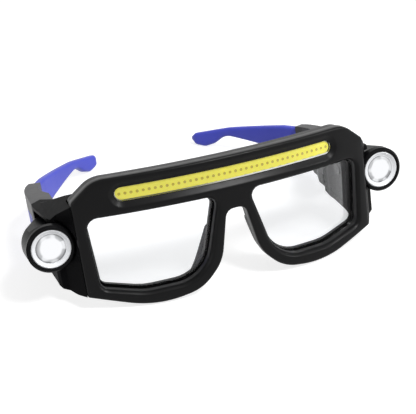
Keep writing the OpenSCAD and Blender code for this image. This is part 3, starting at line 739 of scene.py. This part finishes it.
# %% Fill the front, the back and the hollow behind the strip
def outlines(end):
    """Flat loops of the outline and the openings at the first or last step of their rolls."""
    lips = [shifted(loop, LENS_ROLL[end][0]) for loop in lens_loops]
    return [shifted(FRONT_LOOP, OUTER_ROLL[end][0]), *lips]


def rings_at(end):
    """The rings that belong to those loops."""
    return [outer[end], openings[0][end], openings[1][end]]


recess_front = shifted(STRIP_LOOP, STRIP_ROLL[0][0])
recess_back = shifted(STRIP_LOOP, STRIP_ROLL[-1][0])
skin.fill(outlines(0) + [recess_front], rings_at(0) + [recess[0]], lifted(0))
skin.fill(outlines(-1) + [HOLLOW_LOOP], rings_at(-1) + [hollow[0]], lifted(FRONT_DEPTH))
skin.fill([HOLLOW_LOOP, recess_back], [hollow[1], recess[-1]], lifted(HOLLOW_DEPTH))
front_skin = skin.object("front_shell_rolled", "frame", "frame_black", sharp=50)
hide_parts("front_shell")

# %% [markdown]
# ## End pieces
#
# An end piece joins the front to the temple's hinge and reaches round the lamp, with a cheek and a round
# cup in front and a flat eave above. A mould maker draws it as a plan, a front view and a side view, cuts
# the three through each other and then sinks the cup. It could be drawn as a skin too, but its many flat
# faces meet at odd lines that are hard to find by hand. Boolean modifiers find them. The lower edge of the
# side view has wide rounded corners, so that the cheek runs into the rim in one sweep.


# %% Blocks pushed out of a flat outline
def block(outline, low, high, place):
    """A solid between two copies of a flat outline. place makes worn points of flat ones and a level."""
    count = len(outline)
    points = [place(a, b, level) for level in (low, high) for a, b in outline]
    sides = [(i, (i + 1) % count, count + (i + 1) % count, count + i) for i in range(count)]
    mesh = bpy.data.meshes.new("block")
    mesh.from_pydata(points, [], [tuple(range(count)), tuple(range(count, 2 * count)), *sides])
    work = bmesh.new()
    work.from_mesh(mesh)
    bmesh.ops.recalc_face_normals(work, faces=work.faces)
    work.to_mesh(mesh)
    work.free()
    piece = bpy.data.objects.new("block", mesh)
    bpy.context.scene.collection.objects.link(piece)
    return piece


def upwards(x, y, level):
    """A plan point at a level."""
    return (x, y, level)


def backwards(x, z, level):
    """A point of the front view, pushed back."""
    return (x, level, z)


def outwards(y, z, level):
    """A point of the side view, pushed out."""
    return (level, y, z)


def carved(first, steps):
    """Works through boolean steps on the first block and gives the points and faces that are left."""
    for operation, tool in steps:
        modifier = first.modifiers.new(operation, "BOOLEAN")
        modifier.operation = operation
        modifier.object = tool
        modifier.solver = "EXACT"
    bpy.context.view_layer.update()
    result = first.evaluated_get(bpy.context.evaluated_depsgraph_get())
    mesh = result.to_mesh()
    points = [tuple(v.co) for v in mesh.vertices]
    faces = [tuple(p.vertices) for p in mesh.polygons]
    result.to_mesh_clear()
    for piece in [first, *[tool for _, tool in steps]]:
        bpy.data.objects.remove(piece)
    return points, faces


# %% Three views of the left end piece
INNER_WALL, PIVOT_WALL, SIDE_OUT = 65.4, 68.6, 81.2
HINGE_X, HINGE_Y, PIVOT_Y = 70.0, 52.02, 31.02
EAVE_Z, EAVE_LOW = 10.9, 9.4
LAMP_R, LAMP_FRONT = 10.6, 14.42
CHEEK_X, HINGE_BACK = 69.3, 51.87
END_PLAN = [
    (CHEEK_X, 11.02), (74.8, 20.3), (77.5, 22.3), (78.6, 24.82), (SIDE_OUT, 46.0), (SIDE_OUT, HINGE_BACK),
    (76.3, 56.62), (71, HINGE_BACK), (67.4, HINGE_BACK), (INNER_WALL, 42),
    (INNER_WALL, float(face_y(INNER_WALL, BROW_DEPTH)) + 0.3),
    (CHEEK_X, float(face_y(FACE_HALF, BROW_DEPTH)) + 0.6)]
END_FRONT = [(61.4, -30), (83, -30), (83, EAVE_Z), (77.2, EAVE_Z), (69.2, 17.6), (61.4, 24.6)]
END_SIDE = rounded([
    [0, -24.1, 0.3], [11, -24.1, 2], [16.4, -23.9, 8], [21, -22.3, 10], [27, -19.8, 14], [39, -17.2, 20],
    [64, -16.4, 0.3], [64, EAVE_Z, 0.3], [51, EAVE_Z, 4], [47.4, 11.9, 6], [29, 18, 14], [20, 20.4, 10],
    [0, 20.4, 0.3]])
print("end piece", HINGE_BACK - END_PLAN[0][1], "mm long to its hinge")


# %% Rods and slots that are added or sunk
def round_slot(x, z, radius, lift=0, roof=99.0, count=40):
    """A circle that is drawn out upwards by lift, and cut level at the roof."""
    points = []
    for step in range(count):
        angle = 2 * math.pi * (step + 0.5) / count
        rise = lift if math.sin(angle) > 0 else 0
        points.append((x + radius * math.cos(angle), min(z + radius * math.sin(angle) + rise, roof)))
    return points


def hinge_rod(radius, low, high):
    """An upright rod round the hinge's axis."""
    return block(round_slot(HINGE_X, HINGE_Y, radius), low, high, upwards)


def pivot_rod(radius, low, high):
    """A rod across, round the lamp's pivot."""
    return block(round_slot(PIVOT_Y, 0, radius), low, high, outwards)


def lamp_rod(radius, lift, front, back, roof=99.0):
    """A rod along the lamp's axis, with the room above it in which the lamp tilts."""
    return block(round_slot(LAMP_X, 0, radius, lift, roof), front, back, backwards)


# %% Carve both end pieces
CUP_END, TAIL_START = LAMP_FRONT + 5, HINGE_Y - 4
KNUCKLE_R, KNUCKLE_GAP_R, PIN_HOLE_R = 3, 3.3, 1.05
PIVOT_HOLE_R, SCREW_R, WASHER_R = 1.6, 3.15, 4.3
EAVE_RELIEF = [(73.5, 8), (84, 8), (84, 10.45), (73.5, 10.45)]
TAIL_OPEN = [(78.2, 24), (70.6, 34), (70.6, TAIL_START), (92, TAIL_START), (92, 24)]
BELOW_OPEN = [(81, 38), (70.6, 43), (70.6, 72), (92, 72), (92, 38)]
steps = [
    ("INTERSECT", block(END_FRONT, 0, 70, backwards)),
    ("INTERSECT", block(END_SIDE, 55, 90, outwards)),
    ("UNION", hinge_rod(KNUCKLE_R, -13, -8)),
    ("UNION", hinge_rod(KNUCKLE_R, 2, 7.5)),
    ("DIFFERENCE", lamp_rod(LAMP_R + 0.15, 1.4, -1, CUP_END)),
    ("DIFFERENCE", block(EAVE_RELIEF, CUP_END - 0.1, 21.2, backwards)),
    ("DIFFERENCE", lamp_rod(LAMP_R + 0.8, 1.2, CUP_END - 0.1, TAIL_START, EAVE_LOW)),
    ("DIFFERENCE", block(TAIL_OPEN, -12.5, 0.01, upwards)),
    ("DIFFERENCE", block(BELOW_OPEN, -40, -12, upwards)),
    ("DIFFERENCE", hinge_rod(KNUCKLE_GAP_R, -8, 2)),
    ("DIFFERENCE", pivot_rod(WASHER_R, PIVOT_WALL, PIVOT_WALL + 8)),
    ("DIFFERENCE", hinge_rod(PIN_HOLE_R, -30, 30)),
    ("DIFFERENCE", pivot_rod(PIVOT_HOLE_R, INNER_WALL - 2, PIVOT_WALL + 1)),
    ("DIFFERENCE", pivot_rod(SCREW_R, INNER_WALL - 1, INNER_WALL + 0.9)),
]
end_points, end_faces = carved(block(END_PLAN, -40, 40, upwards), steps)
for side, name in ((1, "left"), (-1, "right")):
    skin = Skin()
    skin.points = [(side * x, y, z) for x, y, z in end_points]
    skin.faces = list(end_faces)
    end = skin.object(name + "_end_moulding", "frame", "frame_black", sharp=14)
    end.data.materials[0] = matt_black
    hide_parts(name + "_end_piece")

# %% [markdown]
# ## Blue ear arms
#
# The arms are soft moulded rubber with round edges, and they end in a bulb that hooks behind the ear. A
# curve with a bevel would give them one section all along, but their height changes from stop to stop. So
# they are lofted: a rounded rectangle is carried along the curved path, and at each stop its height comes
# from the side view of the arm. Over the last millimetres the section shrinks to a round end. A thin wing
# of the same rubber covers the lower part of the temple's outer face.

# %% Path of the left arm in plan
SHOULDER_R, JUNCTION_Y, JUNCTION_TURN = 45, 93.02, 26
SHOULDER_Y = JUNCTION_Y - SHOULDER_R * math.sin(math.radians(JUNCTION_TURN))
SHOULDER_C = np.array([SIDE_OUT - SHOULDER_R, SHOULDER_Y])
CORE_BEND_R, ARM_R = SHOULDER_R - 3, 235
ARM_START_TURN, ARM_END_TURN = 9, 44.4


def heading(degrees):
    """The direction at an angle from X towards Y."""
    return np.array([math.cos(math.radians(degrees)), math.sin(math.radians(degrees))])


ARM_C = SHOULDER_C + (CORE_BEND_R - ARM_R) * heading(JUNCTION_TURN)


def arm_middles():
    """Points of the path from inside the temple to the tip, with their outward directions."""
    hidden = [(SHOULDER_C + CORE_BEND_R * heading(turn), heading(turn))
              for turn in np.linspace(ARM_START_TURN, JUNCTION_TURN, 9)[:-1]]
    shown_part = [(ARM_C + ARM_R * heading(turn), heading(turn))
                  for turn in np.linspace(JUNCTION_TURN, ARM_END_TURN, 64)]
    return hidden + shown_part


print("stops along the arm", len(arm_middles()))

# %% Side view of the arm
ARM_LOOP = rounded([
    [-70, 8.6, 0.3], [-70, -6.8, 0.3], [-54, -6.2, 8], [-32, -2.6, 30], [-5.5, 2.6, 12], [2.5, -2.6, 6],
    [9, -4.4, 5], [17.6, -2.8, 4], [17.2, 3.4, 2.6], [-8, 7, 60], [-46, 9.4, 30]], gap=0.4)
ARM_LOOK = math.radians(40)
ARM_ALONG = np.array([-math.sin(ARM_LOOK), math.cos(ARM_LOOK)])
ARM_END = max(ARM_LOOP[:, 0])


def arm_levels(reach):
    """Lowest and highest level of the arm's side view at a reach along it."""
    ends = np.roll(ARM_LOOP, -1, 0)
    levels = [z0 + (z1 - z0) * (reach - y0) / (y1 - y0) for (y0, z0), (y1, z1) in zip(ARM_LOOP, ends)
              if (y0 > reach) != (y1 > reach)]
    return min(levels), max(levels)


print("arm reaches", round(float(ARM_END), 2), "mm past its bend")


# %% Section of the arm and stops of its wing
def section(width, height, radius, steps=5):
    """A rounded rectangle round the origin as points [across, up]."""
    radius = min(radius, width / 2 - 0.01, height / 2 - 0.01)
    points = []
    for corner, (sx, sz) in enumerate([(1, 1), (-1, 1), (-1, -1), (1, -1)]):
        for step in range(steps + 1):
            angle = math.radians(90 * corner + 90 * step / steps)
            points.append((sx * (width / 2 - radius) + radius * math.cos(angle),
                           sz * (height / 2 - radius) + radius * math.sin(angle)))
    return points


def temple_low(y):
    """Level of the temple's lower edge at y."""
    return float(np.interp(y, [52, 77, 85, 95], [-18.2, -14, -4, 1]))


def wing_stops():
    """Stops along the temple's outer face: a point, its outward direction and its lowest level."""
    straight = [(np.array([SIDE_OUT, y]), np.array([1.0, 0.0])) for y in np.linspace(61, SHOULDER_Y, 8)[:-1]]
    turns = np.linspace(0, JUNCTION_TURN, 10)
    bent = [(SHOULDER_C + SHOULDER_R * heading(turn), heading(turn)) for turn in turns]
    return [(point, outward, temple_low(point[1])) for point, outward in straight + bent]


def upright_ring(side, middle, outward, level, outline):
    """A section that stands across the path at a stop."""
    return [(side * (middle[0] + across * outward[0]), middle[1] + across * outward[1], level + rise)
            for across, rise in outline]


# %% Loft the arms and their wings
ARM_T, ARM_EDGE = 4.6, 1.7
TIP_ROUND, TIP_SHORT, TIP_LEAST = 2.2, 0.12, 0.02
WING_T, WING_EDGE, WING_SUNK, WING_TOP = 2.38, 0.3, 1.2, 2.5
for side, name in ((1, "left"), (-1, "right")):
    skin = Skin()
    rings = []
    for middle, outward in arm_middles():
        reach = min((middle - ARM_C) @ ARM_ALONG, ARM_END - TIP_SHORT)
        low, high = arm_levels(reach)
        left_over = max(0.0, min(1.0, (ARM_END - reach) / TIP_ROUND))
        width = ARM_T * math.sqrt(max(TIP_LEAST, 1 - (1 - left_over) ** 2))
        outline = section(width, high - low, ARM_EDGE)
        rings.append(skin.loop(upright_ring(side, middle, outward, (low + high) / 2, outline)))
    skin.loft(rings)
    rings = []
    for point, outward, low in wing_stops():
        outline = section(WING_T, WING_TOP - low, WING_EDGE)
        middle = point - WING_SUNK * outward
        rings.append(skin.loop(upright_ring(side, middle, outward, (low + WING_TOP) / 2, outline)))
    skin.loft(rings)
    arm = skin.object(name + "_ear_arm", name + "_temple", "arm_blue", sharp=60)
    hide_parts(name + "_temple_arm")

# %% [markdown]
# ## Nose pads
#
# Each pad is a soft blade of grey rubber that leans back and away from the nose side of the rim. Its
# section is a thin bar with a round root and a fatter round tip, and it thins out towards both ends. A
# subdivided box would come out as a lump, so the pad is lofted like the arms, along a smooth curve through
# four stops.

# %% Path and section of the pads
PAD_STOPS = [(6.6, -4.5, 1.2), (9.6, -13, 2.0), (13, -21, 2.4), (17.4, -26.6, 1.6)]
PAD_LAST = len(PAD_STOPS) - 1
PAD_ROOT_R, PAD_ROOT_BACK, PAD_REACH = 1.25, 1.35, 5.25
PAD_TAPER, PAD_LEAST, PAD_DROP = 0.3, 0.03, 0.6


def smooth_between(values, t):
    """A smooth curve through evenly spaced values, at t from 0 to their count less one."""
    count = len(values)
    start = min(int(t), count - 2)
    a, b, c, d = (values[max(0, min(count - 1, start + k))] for k in (-1, 0, 1, 2))
    f = t - start
    return b + 0.5 * f * (c - a + f * (2 * a - 5 * b + 4 * c - d + f * (3 * (b - c) + d - a)))


def half_round(centre, radius, along, across, first, last):
    """Nine points of a half circle in the plane of along and across."""
    turns = [math.radians(angle) for angle in np.linspace(first, last, 9)]
    return [centre + radius * (along * math.cos(turn) + across * math.sin(turn)) for turn in turns]


def pad_ring(side, stop):
    """The pad's section at a stop."""
    x, z, fat = (smooth_between([p[k] for p in PAD_STOPS], stop) for k in range(3))
    near_end = min(stop, PAD_LAST - stop, PAD_TAPER) / PAD_TAPER
    full = min(1.0, math.sqrt(max(PAD_LEAST, 1 - (1 - near_end) ** 2)))
    back = float(face_y(x + 1, RIM_DEPTH))
    root = np.array([x + 1, back + PAD_ROOT_BACK])
    tip = np.array([x + 2.6, back + PAD_ROOT_BACK + PAD_REACH * (0.45 + 0.55 * full)])
    along = unit(tip - root)
    across = np.array([along[1], -along[0]])
    ring = half_round(tip, fat * full, along, across, -90, 90)
    ring += half_round(root, PAD_ROOT_R * full, along, across, 90, 270)
    return [(side * p[0], p[1], z - PAD_DROP * max(0, (p[1] - back) / 6)) for p in ring]


# %% Loft the nose pads
for side, name in ((1, "left"), (-1, "right")):
    skin = Skin()
    skin.loft([skin.loop(pad_ring(side, stop)) for stop in np.linspace(0, PAD_LAST, 34)])
    pad = skin.object(name + "_nose_blade", "frame", "pad_rubber", sharp=70)
    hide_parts(name + "_nose_pad")
